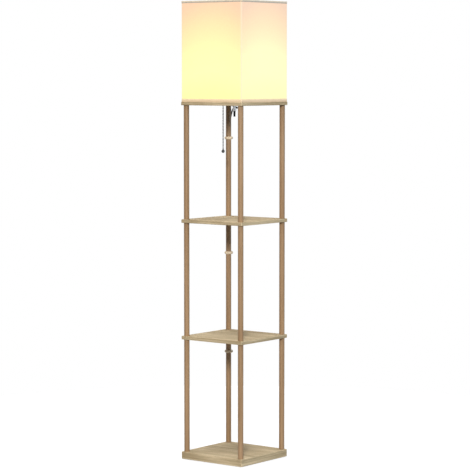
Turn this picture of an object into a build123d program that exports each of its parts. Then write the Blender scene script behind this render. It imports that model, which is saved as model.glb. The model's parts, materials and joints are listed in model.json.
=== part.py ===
from build123d import *
import math
import os

# Shelf floor lamp. Four columns of round wooden posts carry a base, two shelves
# and a top board. A square fabric shade stands on the top board, round a
# pull-chain socket and its bulb. The mains cord leaves a grip under the top
# board, runs down behind the rear left posts and ends in a hank and a plug.
# Millimetres. Origin on the floor under the middle of the base, +X right,
# +Y back, +Z up.

os.makedirs("parts", exist_ok=True)

# ------------------------------------------------------------ driving sizes
past = 1.0                  # how far a cutter runs past the faces it opens

# Boards
board_side = 264.0
board_corner_radius = 4.0
board_edge_round = 1.2
base_thickness = 25.0
shelf_thickness = 12.0
top_thickness = 12.0

# Foot pads
pad_thickness = 2.0
pad_diameter = 20.0
pad_inset = 40.0            # pad centre from the board's edges

# Posts
post_diameter = 19.0
post_length = 394.0
post_inset = 14.0           # post centre from the board's edges
post_chamfer = 0.6

# Threaded inserts, studs and bolts that join the posts through the boards
insert_diameter = 9.0
insert_length = 13.0
insert_hole_extra_depth = 3.0
stud_diameter = 6.0
stud_engagement = 11.0      # length of a stud or bolt inside an insert
bolt_head_diameter = 10.5
bolt_head_height = 3.5
bolt_key_across = 4.0
bolt_key_depth = 2.0
washer_diameter = 13.0
washer_thickness = 1.2
counterbore_diameter = 15.0
counterbore_depth = 8.0
board_hole_clearance = 0.25  # radial, stud in board
thread_gap = 0.05            # radial, stud in insert and insert in post

# Shade
shade_inset = 1.0           # inside the top board's edges
shade_height = 345.0
shade_corner_radius = 5.0
cover_thickness = 1.0
trim_thickness = 0.6
bottom_trim_height = 10.5
top_trim_height = 7.5
frame_wire_diameter = 3.5
corner_wire_diameter = 3.0
wire_gap = 0.3
least_radius = 0.2          # of an inner corner

# Fitter, the ring and arms that hold the shade on the socket
fitter_outer_diameter = 46.0
fitter_thickness = 1.5
fitter_clearance = 0.3       # radial, round the socket shell
arm_wire_diameter = 3.5

# Lamp socket
nipple_diameter = 9.6
nipple_bore = 6.5
nipple_below_board = 10.0
nipple_above_board = 8.0
nipple_clearance = 0.1       # radial, in the cap's hub and in the grip
nut_across_flats = 14.0
nut_thickness = 4.0
nut_washer_diameter = 18.0
nut_washer_thickness = 1.0
cap_diameter = 36.0
cap_height = 15.0
cap_wall = 1.0
cap_floor = 1.5
hub_diameter = 14.0
hub_height = 6.0
shell_diameter = 33.6
shell_wall = 1.0
shell_bottom_above_board = 7.0
shell_top_above_board = 53.0
shoulder_diameter = 38.0
shoulder_thickness = 1.5
shoulder_above_board = 43.0
shell_fit_gap = 0.2          # radial, shell in cap and insulator in shell
insulator_floor = 9.0
insulator_above_board = 11.5
insulator_height = 37.0
wire_hole_diameter = 2.5
wire_hole_offset = 9.0
screw_shell_bore = 26.8
screw_shell_wall = 0.7
screw_shell_height = 25.0
screw_shell_floor = 0.7
screw_shell_floor_hole = 12.0
insulator_wall_gap = 0.2     # radial, screw shell in insulator
contact_width = 6.0
contact_thickness = 0.8
contact_rise = 3.2
contact_side_gap = 1.5       # in the hole of the screw shell's floor
shade_ring_diameter = 42.0
shade_ring_height = 6.0
shade_ring_gap = 0.1         # radial, on the shell
shade_ring_notch_count = 24
ring_notch_diameter = 2.0
ring_notch_start = 1.5       # above the fitter

# Bulb
bulb_cap_diameter = 26.0
bulb_cap_thread_depth = 0.5
bulb_cap_turn_count = 5
bulb_cap_height = 25.0
bulb_cap_plain_top = 5.0     # above the thread
bulb_cap_lead_in = 1.0
bulb_tip_height = 4.0
bulb_tip_diameter = 9.0
bulb_tip_step = 3.5          # radial, from the cap's crest in to the tip's root
bulb_tip_gap = 0.4           # between the tip and the centre contact
bulb_neck_diameter = 29.0
bulb_neck_height = 4.0
bulb_housing_height = 34.0
bulb_housing_lip = 6.0        # plain band at the housing's top
bulb_housing_step = 1.0       # radial, from the globe in to the housing
bulb_diameter = 60.0
bulb_globe_height = 47.0
bulb_globe_wall = 1.2
bulb_removal_travel = 24.0

# Pull chain
chain_offset = 28.0          # from the lamp's axis, to the left and to the front
nozzle_diameter = 9.0
nozzle_bore = 6.4
nozzle_bend_radius = 8.0
nozzle_above_board = 33.0
nozzle_mouth_above_board = 11.0
nozzle_hole_gap = 0.1        # radial, in the shell
bead_diameter = 4.5
bead_pitch = 5.1
chain_wire_diameter = 1.2
chain_joint_wire_diameter = 0.3
chain_joint_gap = 0.1         # a swinging run's top ball under the bead above it
upper_bead_count = 9
middle_bead_count = 14
tail_bead_count = 15
chain_top_above_board = 27.0
chain_ball_diameter = 11.5
chain_ball_neck_diameter = 5.2
chain_ball_neck_length = 1.5
chain_ball_rest_gap = 0.05   # between the neck and the last bead
bushing_flange_diameter = 13.0
bushing_flange_thickness = 1.5
bushing_diameter = 9.0
bushing_bore = 6.2
bushing_gap = 0.1            # radial, in the board

# Cord, its grip under the board, and the rings that hold it to the posts
cord_diameter = 5.0
grip_diameter = 12.4
grip_length = 14.6
grip_chamfer = 0.8
grip_gap = 0.2               # above to the nut, inside to the nipple's end
grip_fit_gap = 0.1           # round and under what sits in the grip
outlet_above_grip_bottom = 6.0
outlet_diameter = 6.6
relief_root_diameter = 8.6
relief_tip_diameter = 6.2
relief_length = 23.0
relief_inner_end = 2.8        # from the grip's axis
relief_flange_thickness = 1.5
relief_flange_rim = 0.6
relief_flange_gap = 0.2
bung_root_diameter = 5.4
bung_tail_diameter = 8.0
bung_tip_diameter = 6.8
bung_length = 20.0
bung_stem_length = 3.0
bung_outlet_gap = 0.3        # between the stem's top and the side outlet
bung_head_diameter = 9.0
bung_head_thickness = 1.2
grip_screw_head_diameter = 6.5
grip_screw_head_length = 5.0
grip_screw_shank_diameter = 3.4
grip_screw_below_grip_top = 3.6
clip_ring_diameter = 30.4
clip_ring_edge_diameter = 25.6
clip_ring_height = 9.6
clip_ring_edge_height = 2.4
clip_post_gap = 0.2          # radial, ring on post
clip_cord_gap = 0.3          # radial, ring on cord
clip_slit = 1.6
clip_ring_shift = 1.8        # of the ring's middle, from the post towards the cord
clip_ring_heights = {"lower": 327.5, "middle": 274.5, "upper": 276.0}  # above the board below
bend_share = 0.45            # of a run that one bend of the cord may use
notch_side_gap = 0.6         # radial, cord in the shelves' notches

# The cord's run straight out of the strain relief, and where it runs down
# behind the rear left posts
cord_first_run = 36.0
cord_from_post_x = -3.0
cord_from_post_y = 12.4

# Hank of the spare cord on the floor behind the base
hank_runs_length = 88.0
hank_outer_radius = 25.4
hank_pitch = 5.8
hank_layer_pitch = 5.5
hank_layer_loop_count = 2
hank_waist_draw = 7.0
hank_floor_gap = 1.2
hank_middle_x = -39.0
hank_first_run_y = 138.5
hank_tie_width = 10.0
hank_tie_thickness = 0.8
hank_tie_gap = 0.3
hank_exit_length = 33.0
hank_exit_shift = 9.5

# Plug
plug_body_length = 30.0
plug_body_width = 24.0
plug_body_thickness = 15.5
plug_body_round = 3.5
plug_neck_length = 20.0
plug_neck_overlap = 2.0      # into the body
plug_neck_root_diameter = 10.5
plug_neck_tip_diameter = 6.4
blade_length = 17.0
blade_width = 6.3
blade_thickness = 1.5
blade_spacing = 12.7
blade_depth = 8.0
blade_gap = 0.05

# ------------------------------------------------------------ levels
base_top = pad_thickness + base_thickness
lower_shelf_bottom = base_top + post_length
lower_shelf_top = lower_shelf_bottom + shelf_thickness
upper_shelf_bottom = lower_shelf_top + post_length
upper_shelf_top = upper_shelf_bottom + shelf_thickness
top_board_bottom = upper_shelf_top + post_length
top_board_top = top_board_bottom + top_thickness
shade_top = top_board_top + shade_height
shade_side = board_side - 2 * shade_inset

post_offset = board_side / 2 - post_inset
corners = {
    "front_left": (-post_offset, -post_offset),
    "front_right": (post_offset, -post_offset),
    "rear_left": (-post_offset, post_offset),
    "rear_right": (post_offset, post_offset),
}
tiers = {"lower": base_top, "middle": lower_shelf_top, "upper": upper_shelf_top}
cord_x = -post_offset + cord_from_post_x
cord_y = post_offset + cord_from_post_y


# ------------------------------------------------------------ small helpers
def upright(diameter, bottom, top, x=0.0, y=0.0):
    """Cylinder on a vertical axis from one level to another."""
    low = (Align.CENTER, Align.CENTER, Align.MIN)
    return Pos(x, y, bottom) * Cylinder(diameter / 2, top - bottom, align=low)


def tube(outer, inner, bottom, top, x=0.0, y=0.0):
    return upright(outer, bottom, top, x, y) - upright(inner, bottom - past, top + past, x, y)


def turned(points, x=0.0, y=0.0):
    """Solid turned about a vertical axis from an outline of (radius, height)."""
    outline = make_face(Polyline(*[(r, 0, z) for r, z in points], close=True))
    return Pos(x, y, 0) * revolve(outline, axis=Axis.Z)


def along(origin, direction):
    """Plane whose local Z points along a direction."""
    return Plane(origin=origin, z_dir=direction)


def group(shapes):
    return Compound(children=list(shapes))


def one_solid(shape):
    """The single solid of a finished piece, whatever wraps it."""
    solids = shape.solids()
    assert len(solids) == 1, f"{len(solids)} solids where one was meant"
    return solids[0]


# ------------------------------------------------------------ boards
def board(thickness, bottom):
    low = (Align.CENTER, Align.CENTER, Align.MIN)
    block = Pos(0, 0, bottom) * Box(board_side, board_side, thickness, align=low)
    block = fillet(block.edges().filter_by(Axis.Z), board_corner_radius)
    rims = block.edges().group_by(Axis.Z)[0] + block.edges().group_by(Axis.Z)[-1]
    return fillet(rims, board_edge_round)


def stud_holes(bottom, top):
    hole = stud_diameter + 2 * board_hole_clearance
    return [upright(hole, bottom - past, top + past, x, y) for x, y in corners.values()]


def cord_notch(bottom, top):
    """Round-bottomed notch in the rear edge, where the cord passes a shelf."""
    width = cord_diameter + 2 * notch_side_gap
    low = (Align.CENTER, Align.MIN, Align.MIN)
    height = top - bottom + 2 * past
    slot = Pos(cord_x, cord_y, bottom - past) * Box(width, board_side, height, align=low)
    return upright(width, bottom - past, top + past, cord_x, cord_y) + slot


def base_board():
    shape = board(base_thickness, pad_thickness)
    shape -= stud_holes(pad_thickness, base_top)
    for x, y in corners.values():
        shape -= upright(counterbore_diameter, 0, pad_thickness + counterbore_depth, x, y)
    return shape


def shelf(bottom):
    top = bottom + shelf_thickness
    return board(shelf_thickness, bottom) - stud_holes(bottom, top) - cord_notch(bottom, top)


def top_board():
    shape = board(top_thickness, top_board_bottom) - stud_holes(top_board_bottom, top_board_top)
    centre_hole = nipple_diameter + 2 * board_hole_clearance
    shape -= upright(centre_hole, top_board_bottom - past, top_board_top + past)
    chain_hole = bushing_diameter + 2 * bushing_gap
    return shape - upright(chain_hole, top_board_bottom - past, top_board_top + past,
                           -chain_offset, -chain_offset)


def foot_pads():
    offset = board_side / 2 - pad_inset
    places = [(-offset, -offset), (offset, -offset), (-offset, offset), (offset, offset)]
    return group(upright(pad_diameter, 0, pad_thickness, x, y) for x, y in places)


# ------------------------------------------------------------ posts and fasteners
def post(x, y, bottom):
    top = bottom + post_length
    shape = upright(post_diameter, bottom, top, x, y)
    shape = chamfer(shape.edges().filter_by(GeomType.CIRCLE), post_chamfer)
    hole = insert_diameter + 2 * thread_gap
    depth = insert_length + insert_hole_extra_depth
    shape -= upright(hole, bottom - past, bottom + depth, x, y)
    return shape - upright(hole, top - depth, top + past, x, y)


def post_inserts():
    bore = stud_diameter + 2 * thread_gap
    shapes = []
    for bottom in tiers.values():
        top = bottom + post_length
        for x, y in corners.values():
            shapes.append(tube(insert_diameter, bore, bottom, bottom + insert_length, x, y))
            shapes.append(tube(insert_diameter, bore, top - insert_length, top, x, y))
    return group(shapes)


def shelf_studs():
    shapes = []
    for bottom in (lower_shelf_bottom, upper_shelf_bottom):
        for x, y in corners.values():
            shapes.append(upright(stud_diameter, bottom - stud_engagement,
                                  bottom + shelf_thickness + stud_engagement, x, y))
    return group(shapes)


def bolt(x, y, seat, tip):
    """Socket-head bolt. seat is the level under its head, tip its far end."""
    up = 1 if tip > seat else -1
    head_end = seat - up * bolt_head_height
    shape = upright(stud_diameter, min(seat, tip), max(seat, tip), x, y)
    shape += upright(bolt_head_diameter, min(seat, head_end), max(seat, head_end), x, y)
    key_low = min(head_end, head_end + up * bolt_key_depth)
    key = extrude(RegularPolygon(bolt_key_across / 2, 6, major_radius=False), bolt_key_depth)
    return shape - Pos(x, y, key_low) * key


base_washer_top = pad_thickness + counterbore_depth
top_washer_top = top_board_top + washer_thickness


def base_bolts():
    seat = base_washer_top - washer_thickness
    return group(bolt(x, y, seat, base_top + stud_engagement) for x, y in corners.values())


def top_bolts():
    tip = top_board_bottom - stud_engagement
    return group(bolt(x, y, top_washer_top, tip) for x, y in corners.values())


def bolt_washers():
    bore = stud_diameter + 2 * board_hole_clearance
    shapes = []
    for x, y in corners.values():
        for top in (base_washer_top, top_washer_top):
            shapes.append(tube(washer_diameter, bore, top - washer_thickness, top, x, y))
    return group(shapes)


# ------------------------------------------------------------ shade
def square_ring(outer_side, outer_radius, wall, bottom, top):
    """Upright square tube with round corners."""
    inner_radius = max(outer_radius - wall, least_radius)
    outline = RectangleRounded(outer_side, outer_side, outer_radius)
    outline -= RectangleRounded(outer_side - 2 * wall, outer_side - 2 * wall, inner_radius)
    return Pos(0, 0, bottom) * extrude(outline, top - bottom)


cover_side = shade_side - 2 * trim_thickness
cover_radius = shade_corner_radius - trim_thickness
cover_inner_side = cover_side - 2 * cover_thickness
cover_inner_radius = cover_radius - cover_thickness
frame_radius = cover_inner_side / 2 - wire_gap - frame_wire_diameter / 2
frame_corner = max(cover_inner_radius - wire_gap - frame_wire_diameter / 2,
                   frame_wire_diameter / 2 + least_radius)
bottom_frame_z = top_board_top + wire_gap + frame_wire_diameter / 2
top_frame_z = shade_top - trim_thickness - wire_gap - frame_wire_diameter / 2


def shade_cover():
    return square_ring(cover_side, cover_radius, cover_thickness,
                       top_board_top + trim_thickness, shade_top - trim_thickness)


def shade_trim(edge, inward, height):
    """Binding folded over one edge of the cover. inward is +1 at the bottom edge."""
    fold = edge + inward * trim_thickness
    far = edge + inward * height
    band = square_ring(shade_side, shade_corner_radius, trim_thickness,
                       min(edge, far), max(edge, far))
    lip = square_ring(shade_side, shade_corner_radius, trim_thickness + cover_thickness,
                      min(edge, fold), max(edge, fold))
    return band + lip


def frame_ring(z):
    """Square of round wire."""
    path = Pos(0, 0, z) * RectangleRounded(2 * frame_radius, 2 * frame_radius,
                                           frame_corner).wire()
    start = Plane(origin=path @ 0, z_dir=path % 0)
    return sweep(start * Circle(frame_wire_diameter / 2), path=path)


def shade_corner_wires():
    inset = frame_corner * (1 - math.sqrt(0.5))
    offset = frame_radius - inset
    low = bottom_frame_z + frame_wire_diameter / 2 + wire_gap
    high = top_frame_z - frame_wire_diameter / 2 - wire_gap
    return group(upright(corner_wire_diameter, low, high, sx * offset, sy * offset)
                 for sx in (-1, 1) for sy in (-1, 1))


shoulder_bottom = top_board_top + shoulder_above_board
fitter_bottom = shoulder_bottom + shoulder_thickness
fitter_top = fitter_bottom + fitter_thickness


def shade_fitter():
    bore = shell_diameter + 2 * fitter_clearance
    shape = tube(fitter_outer_diameter, bore, fitter_bottom, fitter_top)
    inner_end = Vector(fitter_outer_diameter / 2 - arm_wire_diameter / 2, 0,
                       (fitter_bottom + fitter_top) / 2)
    reach = frame_radius - frame_wire_diameter / 2 - wire_gap - arm_wire_diameter / 2
    outer_end = Vector(reach, 0, bottom_frame_z)
    direction = outer_end - inner_end
    arm = extrude(along(inner_end, direction) * Circle(arm_wire_diameter / 2), direction.length)
    arm += Pos(*outer_end) * Sphere(arm_wire_diameter / 2)
    keep_out = upright(bore, fitter_bottom - bore, fitter_top + bore)
    for turn in range(4):
        shape += Rot(0, 0, 90 * turn) * arm
    return one_solid(shape - keep_out)


# ------------------------------------------------------------ lamp socket
nipple_bottom = top_board_bottom - nipple_below_board
nipple_top = top_board_top + nipple_above_board
shell_bottom = top_board_top + shell_bottom_above_board
shell_top = top_board_top + shell_top_above_board
insulator_bottom = top_board_top + insulator_above_board
insulator_bore = screw_shell_bore + 2 * screw_shell_wall + 2 * insulator_wall_gap
insulator_diameter = shell_diameter - 2 * shell_wall - 2 * shell_fit_gap
screw_shell_bottom = insulator_bottom + insulator_floor
contact_top = screw_shell_bottom + contact_rise
nozzle_z = top_board_top + nozzle_above_board
nozzle_mouth = top_board_top + nozzle_mouth_above_board
nozzle_reach = chain_offset * math.sqrt(2)
chain_direction = Vector(-1, -1, 0).normalized()


def lamp_nipple():
    return tube(nipple_diameter, nipple_bore, nipple_bottom, nipple_top)


def nipple_nut():
    top = top_board_bottom - nut_washer_thickness
    hexagon = extrude(RegularPolygon(nut_across_flats / 2, 6, major_radius=False), nut_thickness)
    shape = Pos(0, 0, top - nut_thickness) * hexagon
    bore = nipple_diameter + 2 * thread_gap
    return shape - upright(bore, top - nut_thickness - past, top + past)


def nipple_washer():
    bore = nipple_diameter + 2 * board_hole_clearance
    return tube(nut_washer_diameter, bore, top_board_bottom - nut_washer_thickness,
                top_board_bottom)


def socket_cap():
    bore = nipple_diameter + 2 * nipple_clearance
    shape = upright(cap_diameter, top_board_top, top_board_top + cap_height)
    inside = cap_diameter - 2 * cap_wall
    shape -= upright(inside, top_board_top + cap_floor, top_board_top + cap_height + past)
    shape += upright(hub_diameter, top_board_top + cap_floor / 2, top_board_top + hub_height)
    return shape - upright(bore, top_board_top - past, top_board_top + hub_height + past)


def socket_shell():
    shape = upright(shell_diameter, shell_bottom, shell_top)
    shape += upright(shoulder_diameter, shoulder_bottom, fitter_bottom)
    shape -= upright(shell_diameter - 2 * shell_wall, shell_bottom - past, shell_top + past)
    hole = nozzle_diameter / 2 + nozzle_hole_gap
    cutter = extrude(along((0, 0, nozzle_z), chain_direction) * Circle(hole), shell_diameter)
    return shape - cutter


def socket_insulator():
    top = insulator_bottom + insulator_height
    shape = upright(insulator_diameter, insulator_bottom, top)
    shape -= upright(insulator_bore, screw_shell_bottom, top + past)
    for side in (-1, 1):
        shape -= upright(wire_hole_diameter, insulator_bottom - past, screw_shell_bottom + past,
                         side * wire_hole_offset, 0)
    return shape


def screw_shell():
    outer = screw_shell_bore + 2 * screw_shell_wall
    top = screw_shell_bottom + screw_shell_height
    shape = upright(outer, screw_shell_bottom, top)
    shape -= upright(screw_shell_bore, screw_shell_bottom + screw_shell_floor, top + past)
    return shape - upright(screw_shell_floor_hole, screw_shell_bottom - past,
                           screw_shell_bottom + screw_shell_floor + past)


def centre_contact():
    """Bent brass tongue: a foot, a riser and a spring leaf at the axis."""
    length = screw_shell_floor_hole - 2 * contact_side_gap
    low = (Align.CENTER, Align.CENTER, Align.MIN)
    half = length / 2
    foot = Pos(-half / 2, 0, screw_shell_bottom) * Box(half, contact_width, contact_thickness,
                                                       align=low)
    riser = Pos(-half + contact_thickness / 2, 0, screw_shell_bottom) * Box(
        contact_thickness, contact_width, contact_rise, align=low)
    leaf = Pos(0, 0, contact_top - contact_thickness) * Box(length, contact_width,
                                                            contact_thickness, align=low)
    return one_solid(foot + riser + leaf)


def chain_nozzle():
    """Elbow that guides the chain out of the shell and down."""
    start = chain_direction * (shell_diameter / 2 - shell_wall)
    corner_start = chain_direction * (nozzle_reach - nozzle_bend_radius)
    end = chain_direction * nozzle_reach
    level = Vector(0, 0, nozzle_z)
    down = Vector(0, 0, nozzle_z - nozzle_bend_radius)
    leg = Line(level + start, level + corner_start)
    bend = TangentArc(level + corner_start, down + end, tangent=chain_direction)
    drop = Line(down + end, Vector(end.X, end.Y, nozzle_mouth))
    path = Wire([leg, bend, drop])
    plane = along(level + start, chain_direction)
    outer = sweep(plane * Circle(nozzle_diameter / 2), path=path)
    inner = sweep(plane * Circle(nozzle_bore / 2), path=path)
    return one_solid(outer - inner)


def shade_ring():
    """Threaded ring with finger notches, which clamps the fitter on the shoulder."""
    bore = shell_diameter + 2 * shade_ring_gap
    top = fitter_top + shade_ring_height
    shape = tube(shade_ring_diameter, bore, fitter_top, top)
    for index in range(shade_ring_notch_count):
        turn = Rot(0, 0, 360 * index / shade_ring_notch_count)
        shape -= turn * upright(ring_notch_diameter, fitter_top + ring_notch_start, top + past,
                                shade_ring_diameter / 2, 0)
    return shape


# ------------------------------------------------------------ bulb
bulb_bottom = contact_top + bulb_tip_gap
bulb_cap_bottom = bulb_bottom + bulb_tip_height
bulb_cap_top = bulb_cap_bottom + bulb_cap_height
bulb_housing_top = bulb_cap_top + bulb_housing_height


def bulb_tip():
    root = bulb_cap_diameter / 2 - bulb_tip_step
    return turned([(0, bulb_bottom), (bulb_tip_diameter / 2, bulb_bottom),
                   (root, bulb_cap_bottom), (0, bulb_cap_bottom)])


def bulb_cap():
    """Screw cap with rounded thread ridges, closed at the bottom."""
    crest = bulb_cap_diameter / 2
    root = crest - bulb_cap_thread_depth
    thread_bottom = bulb_cap_bottom + bulb_cap_lead_in
    thread_top = bulb_cap_top - bulb_cap_plain_top
    step = (thread_top - thread_bottom) / (2 * bulb_cap_turn_count)
    points = [(0, bulb_cap_bottom), (root - bulb_cap_lead_in, bulb_cap_bottom)]
    for index in range(2 * bulb_cap_turn_count + 1):
        radius = root if index % 2 == 0 else crest
        points.append((radius, thread_bottom + index * step))
    points += [(root, bulb_cap_top), (0, bulb_cap_top)]
    return turned(points)


def bulb_housing():
    neck = bulb_neck_diameter / 2
    wide = bulb_diameter / 2 - bulb_housing_step
    return turned([(0, bulb_cap_top), (neck, bulb_cap_top), (neck, bulb_cap_top + bulb_neck_height),
                   (wide, bulb_housing_top - bulb_housing_lip), (wide, bulb_housing_top),
                   (0, bulb_housing_top)])


def bulb_globe():
    """Opal dome, a little more than a hemisphere in height."""
    radius = bulb_diameter / 2
    straight = bulb_globe_height - radius
    outer = upright(bulb_diameter, bulb_housing_top, bulb_housing_top + straight)
    outer += Pos(0, 0, bulb_housing_top + straight) * Sphere(radius)
    bore = bulb_diameter - 2 * bulb_globe_wall
    inner = upright(bore, bulb_housing_top - past, bulb_housing_top + straight)
    inner += Pos(0, 0, bulb_housing_top + straight) * Sphere(bore / 2)
    below = upright(2 * bulb_diameter, bulb_housing_top - bulb_diameter, bulb_housing_top)
    return one_solid(outer - inner - below)


# ------------------------------------------------------------ pull chain
def bead_level(index):
    return top_board_top + chain_top_above_board - index * bead_pitch


def bead_run(first, count):
    """Beads on a thin wire, from one bead's number on, as one solid.

    A run that hangs from another ends in a small ball at the pivot, half a
    pitch above its first bead.
    """
    top = bead_level(first)
    bottom = bead_level(first + count - 1)
    shape = upright(chain_wire_diameter, bottom, top)
    for index in range(first, first + count):
        shape += Pos(0, 0, bead_level(index)) * Sphere(bead_diameter / 2)
    if first > 0:
        pivot = top + bead_pitch / 2
        shape += upright(chain_joint_wire_diameter, top, pivot)
        shape += Pos(0, 0, pivot) * Sphere((bead_pitch - bead_diameter) / 2 - chain_joint_gap)
    return Pos(-chain_offset, -chain_offset, 0) * one_solid(shape)


middle_first = upper_bead_count
tail_first = upper_bead_count + middle_bead_count
last_bead_z = bead_level(tail_first + tail_bead_count - 1)
chain_neck_top = last_bead_z - bead_diameter / 2 - chain_ball_rest_gap
chain_ball_z = chain_neck_top - chain_ball_neck_length - chain_ball_diameter / 2


def chain_ball():
    """Weight at the end of the chain, with the crimped neck that holds the last bead."""
    shape = Pos(0, 0, chain_ball_z) * Sphere(chain_ball_diameter / 2)
    shape += upright(chain_ball_neck_diameter, chain_ball_z, chain_neck_top)
    return Pos(-chain_offset, -chain_offset, 0) * one_solid(shape)


def chain_bushing():
    flange_bottom = top_board_bottom - bushing_flange_thickness
    shape = upright(bushing_flange_diameter, flange_bottom, top_board_bottom)
    shape += upright(bushing_diameter, flange_bottom, top_board_top)
    shape -= upright(bushing_bore, flange_bottom - past, top_board_top + past)
    return Pos(-chain_offset, -chain_offset, 0) * shape


# ------------------------------------------------------------ cord grip under the board
grip_top = top_board_bottom - nut_washer_thickness - nut_thickness - grip_gap
grip_bottom = grip_top - grip_length
outlet_z = grip_bottom + outlet_above_grip_bottom
cord_heading = Vector(-0.6506, 0.7594, 0).normalized()
grip_screw_heading = Vector(0.789, 0.614, 0).normalized()
relief_start = grip_diameter / 2


def cord_grip():
    shape = upright(grip_diameter, grip_bottom, grip_top)
    shape = chamfer(shape.edges().group_by(Axis.Z)[0], grip_chamfer)
    seat = nipple_diameter + 2 * nipple_clearance
    shape -= upright(seat, nipple_bottom - grip_gap, grip_top + past)
    shape -= upright(bung_root_diameter, grip_bottom - past, nipple_bottom)
    outlet = along((0, 0, outlet_z), cord_heading) * Circle(outlet_diameter / 2 + grip_fit_gap)
    shape -= extrude(outlet, grip_diameter)
    screw_z = grip_top - grip_screw_below_grip_top
    screw_hole = along((0, 0, screw_z), grip_screw_heading)
    hole = Circle(grip_screw_shank_diameter / 2 + grip_fit_gap)
    return one_solid(shape - extrude(screw_hole * hole, grip_diameter))


def grip_screw():
    """Nylon thumb screw in the side of the grip."""
    screw_z = grip_top - grip_screw_below_grip_top
    inner = nipple_diameter / 2 + nipple_clearance + grip_fit_gap
    face = grip_diameter / 2 + grip_fit_gap
    length = face - inner + grip_screw_head_length / 2
    shank_plane = along(Vector(0, 0, screw_z) + grip_screw_heading * inner, grip_screw_heading)
    head_plane = along(Vector(0, 0, screw_z) + grip_screw_heading * face, grip_screw_heading)
    shape = extrude(shank_plane * Circle(grip_screw_shank_diameter / 2), length)
    shape += extrude(head_plane * Circle(grip_screw_head_diameter / 2), grip_screw_head_length)
    return one_solid(shape)


def strain_relief():
    """Tapered sleeve moulded on the cord, in the grip's side outlet."""
    seat = relief_start + relief_flange_gap
    flange = relief_start + relief_flange_thickness
    tip = relief_start + relief_length
    shank, root = outlet_diameter / 2, relief_root_diameter / 2
    rim = root + relief_flange_rim
    sleeve = turned([(0, relief_inner_end), (shank, relief_inner_end), (shank, seat), (rim, seat),
                     (rim, flange), (root, flange), (relief_tip_diameter / 2, tip), (0, tip)])
    return along((0, 0, outlet_z), cord_heading) * sleeve


def grip_bung():
    """Black bung with a pull tail, which closes the grip's lower mouth."""
    head, tail = bung_head_diameter / 2, bung_tail_diameter / 2
    stem = bung_root_diameter / 2 - grip_fit_gap
    stem_top = min(grip_bottom + bung_stem_length,
                   outlet_z - outlet_diameter / 2 - bung_outlet_gap)
    head_top = grip_bottom - grip_fit_gap
    head_bottom = head_top - bung_head_thickness
    tail_end = grip_bottom - bung_length
    return turned([(0, stem_top), (stem, stem_top), (stem, head_top), (head, head_top),
                   (head, head_bottom), (tail, head_bottom), (bung_tip_diameter / 2, tail_end),
                   (0, tail_end)])


# ------------------------------------------------------------ rings that hold the cord
def cord_ring(height):
    """Split ring round a rear left post and the cord behind it."""
    heading = Vector(cord_from_post_x, cord_from_post_y, 0)
    distance = heading.length
    angle = math.degrees(math.atan2(cord_from_post_y, cord_from_post_x))
    half = clip_ring_height / 2
    flat = clip_ring_edge_height / 2
    edge = clip_ring_edge_diameter / 2
    wide = clip_ring_diameter / 2
    shape = turned([(0, -half), (edge, -half), (wide, -flat), (wide, flat), (edge, half),
                    (0, half)], clip_ring_shift, 0)
    cord_hole = cord_diameter + 2 * clip_cord_gap
    low = (Align.MIN, Align.CENTER, Align.CENTER)
    shape -= upright(post_diameter + 2 * clip_post_gap, -half - past, half + past)
    shape -= Box(distance, cord_hole, clip_ring_height + 2 * past, align=low)
    shape -= upright(cord_hole, -half - past, half + past, distance)
    shape -= Box(clip_ring_diameter, clip_slit, clip_ring_height + 2 * past, align=low)
    x, y = corners["rear_left"]
    return one_solid(Pos(x, y, height) * Rot(0, 0, angle) * shape)


# ------------------------------------------------------------ cord
hank_first_layer_z = hank_floor_gap + cord_diameter / 2
hank_start_x = hank_middle_x - hank_runs_length / 2
relief_tip = Vector(0, 0, outlet_z) + cord_heading * (relief_start + relief_length)

# The route from the strain relief to the hank, chosen by hand: under the top
# board, past the rear left post, straight down through the rings, and down
# behind the base to the floor.
cord_route = [
    tuple(relief_tip),
    tuple(relief_tip + cord_heading * cord_first_run),
    (-76.4, 90.1, 1218.4),
    (-101.0, 120.3, 1216.0),
    (-114.8, 131.8, 1203.5),
    (-120.7, 132.9, 1186.0),
    (-122.2, 131.3, 1165.0),
    (cord_x, cord_y, 1145.0),
    (cord_x, cord_y, 330.0),
    (-122.6, 132.6, 276.0),
    (-127.0, 136.8, 218.0),
    (-131.8, 139.8, 160.0),
    (-135.0, 141.0, 106.0),
    (-136.0, 140.6, 64.0),
    (-134.1, 139.8, 38.1),
    (-128.3, 139.1, 22.1),
    (-117.6, 138.7, 10.2),
    (-103.0, hank_first_run_y, hank_first_layer_z),
    (hank_start_x - cord_diameter, hank_first_run_y, hank_first_layer_z),
]


def route_radii(points):
    """Radius at each corner, as large as its shorter run allows."""
    radii = []
    for before, here, after in zip(points, points[1:], points[2:]):
        run_in = Vector(*here) - Vector(*before)
        run_out = Vector(*after) - Vector(*here)
        half_turn = math.radians(run_in.get_angle(run_out)) / 2
        shorter = min(run_in.length, run_out.length)
        radii.append(bend_share * shorter / math.tan(half_turn))
    return radii


def mains_cord():
    radii = route_radii(cord_route)
    print("cord corner radii, mm:", [round(r, 1) for r in radii])
    path = FilletPolyline(*cord_route, radius=radii)
    start = along(cord_route[0], Vector(*cord_route[1]) - Vector(*cord_route[0]))
    shape = one_solid(sweep(start * Circle(cord_diameter / 2), path=path))
    expected = math.pi * cord_diameter ** 2 / 4 * path.length
    print(f"cord tube length {path.length:.1f}, volume {shape.volume:.0f} for {expected:.0f}")
    return shape


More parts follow.
